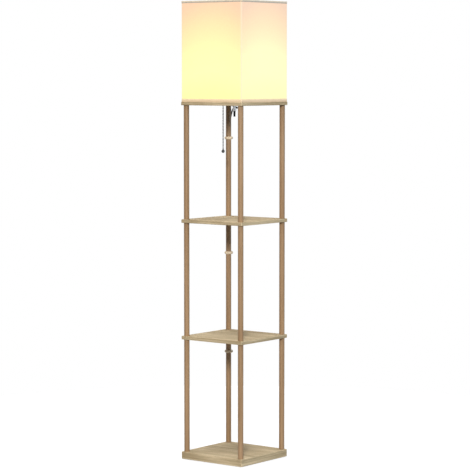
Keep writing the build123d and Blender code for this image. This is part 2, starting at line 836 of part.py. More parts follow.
def biarc(start, start_dir, end, end_dir):
    """Two arcs, tangent to each other and to the given directions."""
    chord = end - start
    both = start_dir + end_dir
    spread = 1 - start_dir.dot(end_dir)
    if spread > 1e-9:
        reach = chord.dot(both)
        root = math.sqrt(reach ** 2 + 2 * spread * chord.dot(chord))
        d = (root - reach) / (2 * spread)
    else:
        d = chord.dot(chord) / (4 * chord.dot(end_dir))
    joint = (start + end + (start_dir - end_dir) * d) * 0.5
    joint_dir = ((end - end_dir * d) - (start + start_dir * d)).normalized()
    return [TangentArc(start, joint, tangent=start_dir), TangentArc(joint, end, tangent=joint_dir)]


def hank_stations():
    """Points and headings of the wound hank, a quarter or half turn apart.

    The lower layer spirals in, the innermost run climbs, and the upper layer
    spirals out. Every run is drawn in at the waist by the same amount.
    """
    half = hank_runs_length / 2
    middle_y = hank_first_run_y + hank_outer_radius
    turns = 2 * hank_layer_loop_count
    runs_in = [hank_outer_radius - index * hank_pitch / 2 for index in range(turns + 1)]
    offsets = runs_in + runs_in[-2::-1]
    low, high = hank_first_layer_z, hank_first_layer_z + hank_layer_pitch
    levels = [(low, low)] * turns + [(low, high)] + [(high, high)] * turns
    stations = []
    for index, (offset, (z_in, z_out)) in enumerate(zip(offsets, levels)):
        way = 1 if index % 2 == 0 else -1
        side = -way
        waist_dir = Vector(way, 0, 1.5 * (z_out - z_in) / hank_runs_length).normalized()
        end_dir = Vector(way, 0, 0)
        y = middle_y + side * offset
        waist_y = middle_y + side * (offset - hank_waist_draw)
        stations.append((Vector(hank_middle_x - way * half, y, z_in), end_dir))
        stations.append((Vector(hank_middle_x, waist_y, (z_in + z_out) / 2), waist_dir))
        stations.append((Vector(hank_middle_x + way * half, y, z_out), end_dir))
    exit_point = Vector(hank_middle_x + half + hank_exit_length,
                        hank_first_run_y + hank_exit_shift, high)
    stations.append((exit_point, Vector(1, 0, 0)))
    return stations


def least_gap(path, diameter, samples=2600, apart=6.0):
    """Smallest gap between turns that are more than some diameters apart on the path."""
    points = [path.position_at(index / samples) for index in range(samples + 1)]
    coordinates = [(p.X, p.Y, p.Z) for p in points]
    skip = int(apart * diameter / (path.length / samples))
    smallest = 1e9
    for index in range(0, len(coordinates), 2):
        here = coordinates[index]
        for other in coordinates[index + skip::2]:
            smallest = min(smallest, math.dist(here, other))
    return smallest - diameter


def cord_hank():
    stations = hank_stations()
    lead = Vector(cord_diameter, 0, 0)
    first, last = stations[0][0], stations[-1][0]
    edges = [Line(first - lead, first)]
    for (start, start_dir), (end, end_dir) in zip(stations, stations[1:]):
        edges += biarc(start, start_dir, end, end_dir)
    edges.append(Line(last, last + lead))
    path = Wire(edges)
    print(f"hank length {path.length:.1f}, least gap {least_gap(path, cord_diameter):.2f}")
    start = along(first - lead, Vector(1, 0, 0))
    return one_solid(sweep(start * Circle(cord_diameter / 2), path=path))


def hank_tie():
    """Strap round the hank's waist."""
    middle_y = hank_first_run_y + hank_outer_radius
    near = hank_outer_radius - hank_waist_draw + cord_diameter / 2 + hank_tie_gap
    far = near - hank_pitch / 2
    low = hank_floor_gap - hank_tie_gap
    high = hank_floor_gap + cord_diameter + hank_layer_pitch + hank_tie_gap
    width = near + far
    height = high - low
    centre = (hank_middle_x, middle_y + (far - near) / 2, (low + high) / 2)
    plane = Plane(origin=centre, x_dir=(0, 1, 0), z_dir=(1, 0, 0))
    wall = hank_tie_thickness
    outline = RectangleRounded(width + 2 * wall, height + 2 * wall, cord_diameter / 2 + wall)
    outline -= RectangleRounded(width, height, cord_diameter / 2)
    return extrude(plane * outline, hank_tie_width / 2, both=True)


# ------------------------------------------------------------ plug
plug_axis = hank_stations()[-1][0] + Vector(cord_diameter, 0, 0)
plug_face_x = plug_axis.X + plug_neck_length + plug_body_length


def plug_body():
    neck_end = plug_neck_length + plug_neck_overlap
    neck = along(plug_axis, (1, 0, 0)) * turned([
        (0, 0), (plug_neck_tip_diameter / 2, 0), (plug_neck_root_diameter / 2, neck_end),
        (0, neck_end)])
    centre = plug_axis + Vector(plug_neck_length + plug_body_length / 2, 0, 0)
    body = Pos(*centre) * Box(plug_body_length, plug_body_width, plug_body_thickness)
    body = fillet(body.edges(), plug_body_round)
    for side in (-1, 1):
        body -= blade(side, blade_gap)
    return one_solid(neck + body)


def blade(side, gap):
    """One flat contact blade, from inside the body out of its face."""
    low = (Align.MIN, Align.CENTER, Align.CENTER)
    start = Vector(plug_face_x - blade_depth, plug_axis.Y + side * blade_spacing / 2, plug_axis.Z)
    length = blade_depth + blade_length
    return Pos(*start) * Box(length, blade_thickness + 2 * gap, blade_width + 2 * gap, align=low)


# ------------------------------------------------------------ nodes
nodes = {
    "base_board": base_board(),
    "foot_pads": foot_pads(),
    "base_bolts": base_bolts(),
    "bolt_washers": bolt_washers(),
    "post_inserts": post_inserts(),
    "shelf_studs": shelf_studs(),
    "top_bolts": top_bolts(),
    "lower_shelf": shelf(lower_shelf_bottom),
    "upper_shelf": shelf(upper_shelf_bottom),
    "top_board": top_board(),
    "shade_cover": shade_cover(),
    "shade_bottom_trim": shade_trim(top_board_top, 1, bottom_trim_height),
    "shade_top_trim": shade_trim(shade_top, -1, top_trim_height),
    "shade_bottom_frame": frame_ring(bottom_frame_z),
    "shade_top_frame": frame_ring(top_frame_z),
    "shade_corner_wires": shade_corner_wires(),
    "shade_fitter": shade_fitter(),
    "lamp_nipple": lamp_nipple(),
    "nipple_nut": nipple_nut(),
    "nipple_washer": nipple_washer(),
    "socket_cap": socket_cap(),
    "socket_shell": socket_shell(),
    "socket_insulator": socket_insulator(),
    "screw_shell": screw_shell(),
    "centre_contact": centre_contact(),
    "chain_nozzle": chain_nozzle(),
    "shade_ring": shade_ring(),
    "bulb_tip": bulb_tip(),
    "bulb_cap": bulb_cap(),
    "bulb_housing": bulb_housing(),
    "bulb_globe": bulb_globe(),
    "chain_bushing": chain_bushing(),
    "chain_upper": bead_run(0, upper_bead_count),
    "chain_middle": bead_run(middle_first, middle_bead_count),
    "chain_tail": bead_run(tail_first, tail_bead_count),
    "chain_ball": chain_ball(),
    "cord_grip": cord_grip(),
    "grip_screw": grip_screw(),
    "grip_bung": grip_bung(),
    "strain_relief": strain_relief(),
    "cord_rings": group(cord_ring(tiers[tier] + height)
                        for tier, height in clip_ring_heights.items()),
    "mains_cord": mains_cord(),
    "cord_hank": cord_hank(),
    "hank_tie": hank_tie(),
    "plug_body": plug_body(),
    "plug_blades": group(blade(side, 0.0) for side in (-1, 1)),
}
for tier, bottom in tiers.items():
    for corner, (x, y) in corners.items():
        nodes[f"post_{tier}_{corner}"] = post(x, y, bottom)

for name, shape in nodes.items():
    export_step(shape, f"parts/{name}.step")
print(len(nodes), "nodes")
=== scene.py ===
"""Looks of the shelf floor lamp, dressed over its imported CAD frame. Metres, +Z up."""

import json
import math

import bpy
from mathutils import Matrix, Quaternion, Vector


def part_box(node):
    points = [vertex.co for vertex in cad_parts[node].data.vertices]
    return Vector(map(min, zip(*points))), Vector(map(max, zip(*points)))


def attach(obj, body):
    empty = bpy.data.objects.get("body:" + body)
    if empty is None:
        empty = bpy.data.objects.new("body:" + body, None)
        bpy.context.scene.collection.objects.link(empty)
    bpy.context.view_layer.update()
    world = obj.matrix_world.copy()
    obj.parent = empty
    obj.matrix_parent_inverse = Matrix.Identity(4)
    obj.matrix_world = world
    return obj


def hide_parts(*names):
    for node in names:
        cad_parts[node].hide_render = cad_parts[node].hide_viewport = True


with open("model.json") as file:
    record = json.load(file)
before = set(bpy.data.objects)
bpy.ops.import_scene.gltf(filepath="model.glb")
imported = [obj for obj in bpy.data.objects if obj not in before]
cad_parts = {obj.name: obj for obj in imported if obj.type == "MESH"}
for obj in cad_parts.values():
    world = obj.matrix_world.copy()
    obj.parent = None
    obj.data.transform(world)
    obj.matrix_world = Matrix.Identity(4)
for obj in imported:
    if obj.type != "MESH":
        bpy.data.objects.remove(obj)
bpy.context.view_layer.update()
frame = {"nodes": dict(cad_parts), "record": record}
nodes = frame["nodes"]


def placed(name, data):
    """A new object of the scene, with this data."""
    made = bpy.data.objects.new(name, data)
    bpy.context.scene.collection.objects.link(made)
    return made


# ------------------------------------------------------------ camera
# without a shift, and set by the places of boards and posts in the photo
CAMERA_HEADING = math.radians(37.756)   # from -Y towards +X, seen from above
CAMERA_DISTANCE = 7.2195                # from the lamp's axis
CAMERA_SIDESTEP = 0.00186
CAMERA_HEIGHT = 1.339
CAMERA_PITCH = math.radians(4.405)      # downwards
FOCAL_PIXELS = 2084.9
PHOTO_SIDE_PIXELS = 470.0
SENSOR_MM = 36.0


def make_camera():
    """The camera of the photo, as near as one without a shift comes."""
    data = bpy.data.cameras.new("camera")
    data.sensor_width = SENSOR_MM
    data.lens = FOCAL_PIXELS / PHOTO_SIDE_PIXELS * SENSOR_MM
    camera = placed("camera", data)
    out = Vector((math.sin(CAMERA_HEADING), -math.cos(CAMERA_HEADING), 0.0))
    right = Vector((math.cos(CAMERA_HEADING), math.sin(CAMERA_HEADING), 0.0))
    camera.location = out * CAMERA_DISTANCE + right * CAMERA_SIDESTEP
    camera.location.z = CAMERA_HEIGHT
    camera.rotation_euler = (math.pi / 2 - CAMERA_PITCH, 0.0, CAMERA_HEADING)
    bpy.context.scene.camera = camera


make_camera()

# ------------------------------------------------------------ cord
CORD_DIAMETER = 0.005
CORD_POST_X, CORD_POST_Y = -0.121, 0.1304       # the straight run behind the posts
HANK_RUNS = 0.088
HANK_RADIUS = 0.0254
HANK_PITCH = 0.0058
HANK_LAYERS_Z = (0.0037, 0.0092)
HANK_LOOPS_PER_LAYER = 2
HANK_WAIST = 0.007
HANK_MIDDLE_X = -0.039
HANK_FIRST_RUN_Y = 0.1385
HANK_EXIT = (0.033, 0.0095)                     # length and shift of the way out
BEND_STEP = math.radians(15)                    # between points on a bend
STRAIGHT_GUARD = 0.03                           # keeps the long run straight to its ends
STRAIGHT_TOP, STRAIGHT_FOOT = 1.145, 0.330      # heights of the straight run's ends
WAIST_SLOPE = 1.5                               # at the middle of the run that climbs
NEARLY_STRAIGHT = 1e-4                          # radians
NEARLY_PARALLEL = 1e-9

relief_tip = Vector((-0.018997, 0.022174, 1.2192))
CORD_ROUTE = [
    tuple(relief_tip),
    (-0.042418, 0.049512, 1.2192),
    (-0.0764, 0.0901, 1.2184),
    (-0.1010, 0.1203, 1.2160),
    (-0.1148, 0.1318, 1.2035),
    (-0.1207, 0.1329, 1.1860),
    (-0.1222, 0.1313, 1.1650),
    (CORD_POST_X, CORD_POST_Y, STRAIGHT_TOP),
    (CORD_POST_X, CORD_POST_Y, STRAIGHT_TOP - STRAIGHT_GUARD),
    (CORD_POST_X, CORD_POST_Y, STRAIGHT_FOOT + STRAIGHT_GUARD),
    (CORD_POST_X, CORD_POST_Y, STRAIGHT_FOOT),
    (-0.1226, 0.1326, 0.276),
    (-0.1270, 0.1368, 0.218),
    (-0.1318, 0.1398, 0.160),
    (-0.1350, 0.1410, 0.106),
    (-0.1360, 0.1406, 0.064),
    (-0.1341, 0.1398, 0.0381),
    (-0.1283, 0.1391, 0.0221),
    (-0.1176, 0.1387, 0.0102),
    (-0.1030, HANK_FIRST_RUN_Y, HANK_LAYERS_Z[0]),
    (HANK_MIDDLE_X - HANK_RUNS / 2 - CORD_DIAMETER, HANK_FIRST_RUN_Y, HANK_LAYERS_Z[0]),
]


def arc_points(start, start_dir, end):
    """Points after start along the arc that leaves it in a direction and reaches end."""
    chord = end - start
    half_turn = start_dir.angle(chord)
    if half_turn < NEARLY_STRAIGHT:
        return [end]
    axis = start_dir.cross(chord).normalized()
    radius = chord.length / 2 / math.sin(half_turn)
    centre = start + axis.cross(start_dir) * radius
    count = max(1, math.ceil(2 * half_turn / BEND_STEP))
    return [centre + Quaternion(axis, 2 * half_turn * i / count) @ (start - centre)
            for i in range(1, count + 1)]


def biarc_points(start, start_dir, end, end_dir):
    """Points after start along two arcs, tangent to each other and to both directions."""
    chord = end - start
    both = start_dir + end_dir
    spread = 1 - start_dir.dot(end_dir)
    if spread > NEARLY_PARALLEL:
        reach = chord.dot(both)
        d = (math.sqrt(reach ** 2 + 2 * spread * chord.dot(chord)) - reach) / (2 * spread)
    else:
        d = chord.dot(chord) / (4 * chord.dot(end_dir))
    joint = (start + end + (start_dir - end_dir) * d) * 0.5
    joint_dir = ((end - end_dir * d) - (start + start_dir * d)).normalized()
    return arc_points(start, start_dir, joint) + arc_points(joint, joint_dir, end)


def hank_points():
    """The hank: the lower layer winds in, one run climbs, the upper layer winds out."""
    half = HANK_RUNS / 2
    middle_y = HANK_FIRST_RUN_Y + HANK_RADIUS
    turns = 2 * HANK_LOOPS_PER_LAYER
    runs_in = [HANK_RADIUS - index * HANK_PITCH / 2 for index in range(turns + 1)]
    offsets = runs_in + runs_in[-2::-1]
    low, high = HANK_LAYERS_Z
    levels = [(low, low)] * turns + [(low, high)] + [(high, high)] * turns
    stations = []
    for index, (offset, (z_in, z_out)) in enumerate(zip(offsets, levels)):
        way = 1 if index % 2 == 0 else -1
        y, waist_y = middle_y - way * offset, middle_y - way * (offset - HANK_WAIST)
        waist_dir = Vector((way, 0, WAIST_SLOPE * (z_out - z_in) / HANK_RUNS)).normalized()
        end_dir = Vector((way, 0, 0))
        stations.append((Vector((HANK_MIDDLE_X - way * half, y, z_in)), end_dir))
        stations.append((Vector((HANK_MIDDLE_X, waist_y, (z_in + z_out) / 2)), waist_dir))
        stations.append((Vector((HANK_MIDDLE_X + way * half, y, z_out)), end_dir))
    length, shift = HANK_EXIT
    stations.append((Vector((HANK_MIDDLE_X + half + length, HANK_FIRST_RUN_Y + shift, high)),
                     Vector((1, 0, 0))))
    points = [stations[0][0]]
    for (start, start_dir), (end, end_dir) in zip(stations, stations[1:]):
        points += biarc_points(start, start_dir, end, end_dir)
    return points + [points[-1] + Vector((CORD_DIAMETER, 0, 0))]


def make_cord():
    """One curve from the strain relief down the rear left posts to the plug."""
    points = [Vector(p) for p in CORD_ROUTE] + hank_points()
    data = bpy.data.curves.new("mains_flex", "CURVE")
    data.dimensions = "3D"
    data.bevel_depth = CORD_DIAMETER / 2
    data.bevel_resolution = 4
    data.resolution_u = 6
    spline = data.splines.new("NURBS")
    spline.points.add(len(points) - 1)
    for point, place in zip(spline.points, points):
        point.co = (*place, 1.0)
    spline.order_u = 3
    spline.use_endpoint_u = True
    return placed("mains_flex", data)


flex = make_cord()


# ------------------------------------------------------------ materials
MIX_VECTOR_A, MIX_VECTOR_B, MIX_VECTOR_OUT = 4, 5, 1    # sockets of the Mix node
MIX_COLOUR_A, MIX_COLOUR_B, MIX_COLOUR_OUT = 6, 7, 2
SIDE_FACING = 0.7                       # |normal X| above which a face counts as an X side
BOARD_SPECULAR = 0.12
BOARD_STREAK_SHARE, TURNED_STREAK_SHARE = 0.62, 0.6     # the rest is broad clouds
PORE_LEVEL, PORE_DARKNESS = 0.40, 0.05
METAL_GRAIN_SCALE, METAL_WEAR_SCALE = 400.0, 50.0
CLOTH_SPECULAR = 0.15
THREAD_PITCH = 0.0009
THREAD_GLOW_SPREAD = 0.015              # share by which single threads glow more or less
FOLD_PAINTED_HIGHLIGHT = 0.8                     # share of the painted pale highlight on a fold, right on it


def node_adder(tree):
    """A function that adds nodes to a tree, with their inputs set or linked."""
    def add(kind, operation=None, **inputs):
        made = tree.nodes.new(kind)
        if operation:
            made.operation = operation
        for key, value in inputs.items():
            socket = made.inputs[int(key[1:])] if key[1:].isdigit() else made.inputs[
                key.replace("_", " ")]
            if isinstance(value, bpy.types.NodeSocket):
                tree.links.new(value, socket)
            else:
                socket.default_value = value
        return made

    return add


def new_material(name):
    """A material with one Principled shader, and functions that add and link nodes."""
    material = bpy.data.materials.new(name)
    material.use_nodes = True
    tree = material.node_tree
    tree.nodes.clear()
    output = tree.nodes.new("ShaderNodeOutputMaterial")
    shader = tree.nodes.new("ShaderNodeBsdfPrincipled")
    tree.links.new(shader.outputs["BSDF"], output.inputs["Surface"])

    def feed(socket, value):
        tree.links.new(value, shader.inputs[socket])

    return material, shader, node_adder(tree), feed


def noise(add, vector, scale, detail=4.0, roughness=0.6, distortion=0.0):
    return add("ShaderNodeTexNoise", Vector=vector, Scale=scale, Detail=detail,
               Roughness=roughness, Distortion=distortion).outputs[0]


def ramp(add, factor, stops):
    """Colour ramp from (place, linear RGB) pairs."""
    made = add("ShaderNodeValToRGB", Fac=factor)
    elements = made.color_ramp.elements
    while len(elements) < len(stops):
        elements.new(0.5)
    for element, (place, rgb) in zip(elements, stops):
        element.position = place
        element.color = (*rgb, 1.0)
    return made.outputs["Color"]


def between(add, value, low, high, from_low=0.3, from_high=0.7):
    return add("ShaderNodeMapRange", Value=value, From_Min=from_low, From_Max=from_high,
               To_Min=low, To_Max=high).outputs[0]


def math_node(add, operation, a, b):
    return add("ShaderNodeMath", operation, i0=a, i1=b).outputs[0]


def bump(add, feed, height, strength, distance):
    feed("Normal", add("ShaderNodeBump", Height=height, Strength=strength,
                       Distance=distance).outputs["Normal"])


def stretched_noise(add, vector, scales, detail, roughness, distortion=0.0):
    """Noise with a scale of its own for each axis."""
    scaled = add("ShaderNodeMapping", Vector=vector, Scale=scales).outputs[0]
    return noise(add, scaled, 1.0, detail, roughness, distortion)


def blend(add, first, second, share):
    """A share of the first value, and the rest of the second."""
    return math_node(add, "ADD", math_node(add, "MULTIPLY", first, share),
                     math_node(add, "MULTIPLY", second, 1.0 - share))


def board_wood(name, dark, light):
    """Oak veneer: fibres along X, and along Y on the side edges."""
    material, shader, add, feed = new_material(name)
    place = add("ShaderNodeTexCoord").outputs["Object"]
    normal = add("ShaderNodeNewGeometry").outputs["Normal"]
    facing_x = add("ShaderNodeSeparateXYZ", Vector=normal).outputs["X"]
    on_side = math_node(add, "GREATER_THAN", math_node(add, "ABSOLUTE", facing_x, 0.0),
                        SIDE_FACING)
    parts = add("ShaderNodeSeparateXYZ", Vector=place).outputs
    turned = add("ShaderNodeCombineXYZ", X=parts["Y"], Y=parts["X"], Z=parts["Z"]).outputs[0]
    along = add("ShaderNodeMix", Factor=on_side)
    along.data_type = "VECTOR"
    links = material.node_tree.links
    links.new(place, along.inputs[MIX_VECTOR_A])
    links.new(turned, along.inputs[MIX_VECTOR_B])
    fibres = along.outputs[MIX_VECTOR_OUT]
    streaks = stretched_noise(add, fibres, (4.0, 150.0, 150.0), 7.0, 0.62, 0.4)
    cloud = stretched_noise(add, fibres, (3.0, 14.0, 14.0), 3.0, 0.5, 0.8)
    pores = stretched_noise(add, fibres, (40.0, 900.0, 900.0), 3.0, 0.6)
    open_pores = math_node(add, "LESS_THAN", pores, PORE_LEVEL)
    tone = math_node(add, "SUBTRACT", blend(add, streaks, cloud, BOARD_STREAK_SHARE),
                     math_node(add, "MULTIPLY", open_pores, PORE_DARKNESS))
    feed("Base Color", ramp(add, tone, [(0.40, dark), (0.60, light)]))
    feed("Roughness", between(add, streaks, 0.82, 0.70))
    shader.inputs["Specular IOR Level"].default_value = BOARD_SPECULAR
    bump(add, feed, math_node(add, "ADD", pores, streaks), 0.25, 0.00025)
    return material


def turned_wood(name, dark, light, rough, specular=0.5):
    """Stained wood with fibres along Z."""
    material, shader, add, feed = new_material(name)
    place = add("ShaderNodeTexCoord").outputs["Object"]
    streaks = stretched_noise(add, place, (260.0, 260.0, 7.0), 6.0, 0.6, 0.3)
    cloud = stretched_noise(add, place, (30.0, 30.0, 4.0), 3.0, 0.5)
    pores = stretched_noise(add, place, (1500.0, 1500.0, 60.0), 2.0, 0.6)
    tone = blend(add, streaks, cloud, TURNED_STREAK_SHARE)
    feed("Base Color", ramp(add, tone, [(0.32, dark), (0.68, light)]))
    feed("Roughness", between(add, streaks, rough + 0.07, rough - 0.07))
    shader.inputs["Specular IOR Level"].default_value = specular
    bump(add, feed, math_node(add, "ADD", pores, streaks), 0.2, 0.0002)
    return material


def metal(name, dark, light, rough):
    """Plated or brushed metal with fine wear."""
    material, shader, add, feed = new_material(name)
    place = add("ShaderNodeTexCoord").outputs["Object"]
    grain = noise(add, place, METAL_GRAIN_SCALE, 5.0, 0.6)
    wear = noise(add, place, METAL_WEAR_SCALE, 4.0, 0.6, 0.5)
    feed("Base Color", ramp(add, wear, [(0.30, dark), (0.70, light)]))
    feed("Roughness", between(add, blend(add, grain, wear, 0.5), rough - 0.08, rough + 0.12))
    shader.inputs["Metallic"].default_value = 1.0
    bump(add, feed, grain, 0.12, 0.0001)
    return material


def moulded(name, dark, light, rough, scale=900.0, strength=0.15, coat=0.0, specular=0.5):
    """Moulded plastic, rubber or paint, with a fine skin and faint smudges."""
    material, shader, add, feed = new_material(name)
    place = add("ShaderNodeTexCoord").outputs["Object"]
    skin = noise(add, place, scale, 4.0, 0.6)
    smudge = noise(add, place, scale / 20, 4.0, 0.55, 0.4)
    feed("Base Color", ramp(add, smudge, [(0.30, dark), (0.70, light)]))
    feed("Roughness", between(add, smudge, rough - 0.07, rough + 0.09))
    shader.inputs["Coat Weight"].default_value = coat
    shader.inputs["Specular IOR Level"].default_value = specular
    bump(add, feed, skin, strength, 0.00012)
    return material


def weave(add, place, pitch):
    """Height of a plain weave, from waves across and up the cloth."""
    parts = add("ShaderNodeSeparateXYZ", Vector=place).outputs
    turns = 2 * math.pi / pitch
    round_it = math_node(add, "ADD", parts["X"], parts["Y"])
    across = math_node(add, "SINE", math_node(add, "MULTIPLY", round_it, turns), 0.0)
    up = math_node(add, "SINE", math_node(add, "MULTIPLY", parts["Z"], turns), 0.0)
    return math_node(add, "MULTIPLY", across, up)


def mixed(add, factor, first, second):
    """Colour between two, where second is a socket or a linear RGB."""
    made = add("ShaderNodeMix", Factor=factor)
    made.data_type = "RGBA"
    for index, colour in ((MIX_COLOUR_A, first), (MIX_COLOUR_B, second)):
        socket = made.inputs[index]
        if isinstance(colour, bpy.types.NodeSocket):
            made.id_data.links.new(colour, socket)
        else:
            socket.default_value = (*colour, 1.0)
    return made.outputs[MIX_COLOUR_OUT]


def lit_cloth(name, dark, light, extent, glow_left, glow_right_painted_paler, fold_highlight_colour):
    """Cloth lit from behind, dimmer towards its upright folds, with a painted pale highlight on
    them.

    extent is (low z, high z, half width). The glows are (share of the height,
    linear RGB) pairs: the first for the front and left sides, the second, paler and
    bluer, for the right and rear ones, where the difference is painted light, as from
    a cool lamp on the right.
    """
    material, shader, add, feed = new_material(name)
    low_z, high_z, half = extent
    place = add("ShaderNodeTexCoord").outputs["Object"]
    threads = weave(add, place, THREAD_PITCH)
    slubs = stretched_noise(add, place, (90.0, 90.0, 700.0), 4.0, 0.6)
    slubs_up = stretched_noise(add, place, (700.0, 700.0, 90.0), 4.0, 0.6)
    cloth = blend(add, slubs, slubs_up, 0.5)
    feed("Base Color", ramp(add, cloth, [(0.35, dark), (0.65, light)]))
    parts = add("ShaderNodeSeparateXYZ", Vector=place).outputs
    off_middle = math_node(add, "MINIMUM", math_node(add, "ABSOLUTE", parts["X"], 0.0),
                           math_node(add, "ABSOLUTE", parts["Y"], 0.0))
    # painted highlight: the glow turns paler on the rounded folds, as if they caught light
    fold = between(add, off_middle, 0.0, FOLD_PAINTED_HIGHLIGHT, half - FOLD_WIDTH, half)
    to_fold = between(add, off_middle, 0.0, 1.0, 0.0, half)
    bowed = math_node(add, "POWER", to_fold, GLOW_BOW)
    share = math_node(add, "ADD", between(add, parts["Z"], 0.0, 1.0, low_z, high_z),
                      math_node(add, "MULTIPLY", bowed, GLOW_RISE))
    # painted light: the right and rear sides take the second, paler and bluer glow, as if a cool
    # lamp shone on them from the right
    paler_side_painted_light = math_node(add, "GREATER_THAN", math_node(add, "ADD", parts["X"], parts["Y"]), 0.0)
    glow = mixed(add, paler_side_painted_light, ramp(add, share, glow_left), ramp(add, share, glow_right_painted_paler))
    feed("Emission Color", mixed(add, fold, glow, fold_highlight_colour))
    threads_glow = between(add, cloth, 1.0 - THREAD_GLOW_SPREAD, 1.0 + THREAD_GLOW_SPREAD)
    feed("Emission Strength", math_node(add, "MULTIPLY", threads_glow, between(
        add, bowed, 1.0, 1.0 - GLOW_DROP, 0.0, 1.0)))
    feed("Roughness", between(add, cloth, 0.95, 0.85))
    shader.inputs["Specular IOR Level"].default_value = CLOTH_SPECULAR
    bump(add, feed, math_node(add, "ADD", math_node(add, "MULTIPLY", threads, 0.3), cloth),
         0.2, 0.0002)
    return material


def glowing(name, colour, strength):
    """Opal plastic that glows, a little unevenly."""
    material, shader, add, feed = new_material(name)
    place = add("ShaderNodeTexCoord").outputs["Object"]
    haze = noise(add, place, 60.0, 3.0, 0.5)
    feed("Base Color", ramp(add, haze, [(0.3, (0.80, 0.78, 0.72)), (0.7, (0.88, 0.86, 0.80))]))
    shader.inputs["Emission Color"].default_value = (*colour, 1.0)
    feed("Emission Strength", between(add, haze, strength * 0.94, strength * 1.06))
    feed("Roughness", between(add, haze, 0.35, 0.45))
    bump(add, feed, noise(add, place, 1200.0), 0.08, 0.0001)
    return material


# ------------------------------------------------------------ shade
BOARD_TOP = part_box("top_board")[1].z
COVER_LOW, COVER_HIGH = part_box("shade_cover")
SHADE_CORNER = 0.005
TRIM = 0.0006
CLOTH = 0.001
HEM_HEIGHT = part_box("shade_bottom_trim")[1].z - BOARD_TOP
CORNER_STEPS = 8
SIDE_STEPS = 24
COVER_ROWS = 30
COVER_BOW = 0.0004                      # inwards, half way up and across a side
FOLD_WIDTH = 0.006
GLOW_BOW = 2.0                          # how late on a side its glow turns dimmer
GLOW_RISE = 0.09                        # share of the height by which it is ahead at a fold
GLOW_DROP = 0.04                        # share of the glow that is lost at a fold


def square_band(name, half, corner, section):
    """Closed band round a square with round corners.

    section is a closed outline of (inset from the side, height, bow) going round
    the wall, where bow is how far the middle of a side is drawn in.
    """
    stations = []                        # (quarter turn, heading, share of the side)
    for quarter in range(4):
        start = quarter * math.pi / 2
        for step in range(CORNER_STEPS):
            stations.append((quarter, start + math.pi / 2 * step / CORNER_STEPS, None))
        for step in range(SIDE_STEPS):
            stations.append((quarter, start + math.pi / 2, step / SIDE_STEPS))
    vertices, faces = [], []
    for quarter, heading, share in stations:
        out = Vector((math.cos(heading), math.sin(heading), 0.0))
        here = Vector((1, 1, 0))
        here.rotate(Quaternion((0, 0, 1), quarter * math.pi / 2))
        following = Vector((-1, 1, 0))
        following.rotate(Quaternion((0, 0, 1), quarter * math.pi / 2))
        place = (half - corner) * (here if share is None else here.lerp(following, share))
        drawn = 0.0 if share is None else math.sin(math.pi * share)
        for inset, z, bow in section:
            vertices.append(place + out * (corner - inset - bow * drawn) + Vector((0, 0, z)))
    count, rows = len(stations), len(section)
    for index in range(count):
        for row in range(rows):
            a = index * rows + row
            b = index * rows + (row + 1) % rows
            c = (index + 1) % count * rows + (row + 1) % rows
            d = (index + 1) % count * rows + row
            faces.append((a, d, c, b))
    mesh = bpy.data.meshes.new(name)
    mesh.from_pydata(vertices, [], faces)
    mesh.update()
    mesh.shade_smooth()
    return placed(name, mesh)


def cover_section(low, high):
    """Outside up and inside down, a few rows each."""
    section = []
    for inset, order in ((0.0, range(COVER_ROWS + 1)), (CLOTH, range(COVER_ROWS, -1, -1))):
        for row in order:
            share = row / COVER_ROWS
            section.append((inset, low + (high - low) * share,
                            COVER_BOW * math.sin(math.pi * share)))
    return section


def trim_section(edge, far, way):
    """Band outside the cover and a lip folded over its edge. way is +1 at the bottom."""
    fold = edge + way * TRIM
    outline = [(0.0, edge + way * TRIM / 3, 0.0), (0.0, (edge + far) / 2, 0.0), (0.0, far, 0.0),
               (TRIM, far, 0.0), (TRIM, fold, 0.0), (TRIM + CLOTH, fold, 0.0),
               (TRIM + CLOTH, edge, 0.0), (TRIM / 3, edge, 0.0)]
    return outline if way > 0 else outline[::-1]


def make_shade():
    """The shade's cloth with its lower and upper trims."""
    half = COVER_HIGH.x
    cover = square_band("shade_cloth", half, SHADE_CORNER - TRIM,
                        cover_section(COVER_LOW.z, COVER_HIGH.z))
    hem = square_band("shade_hem", half + TRIM, SHADE_CORNER,
                      trim_section(BOARD_TOP, BOARD_TOP + HEM_HEIGHT, 1))
    top_low, top_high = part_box("shade_top_trim")
    rim = square_band("shade_rim", half + TRIM, SHADE_CORNER,
                      trim_section(top_high.z, top_low.z, -1))
    for piece, stands_for in ((cover, "shade_cover"), (hem, "shade_bottom_trim"),
                              (rim, "shade_top_trim")):
        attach(piece, "root")
        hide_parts(stands_for)
    return cover, hem, rim


cover, hem, rim = make_shade()

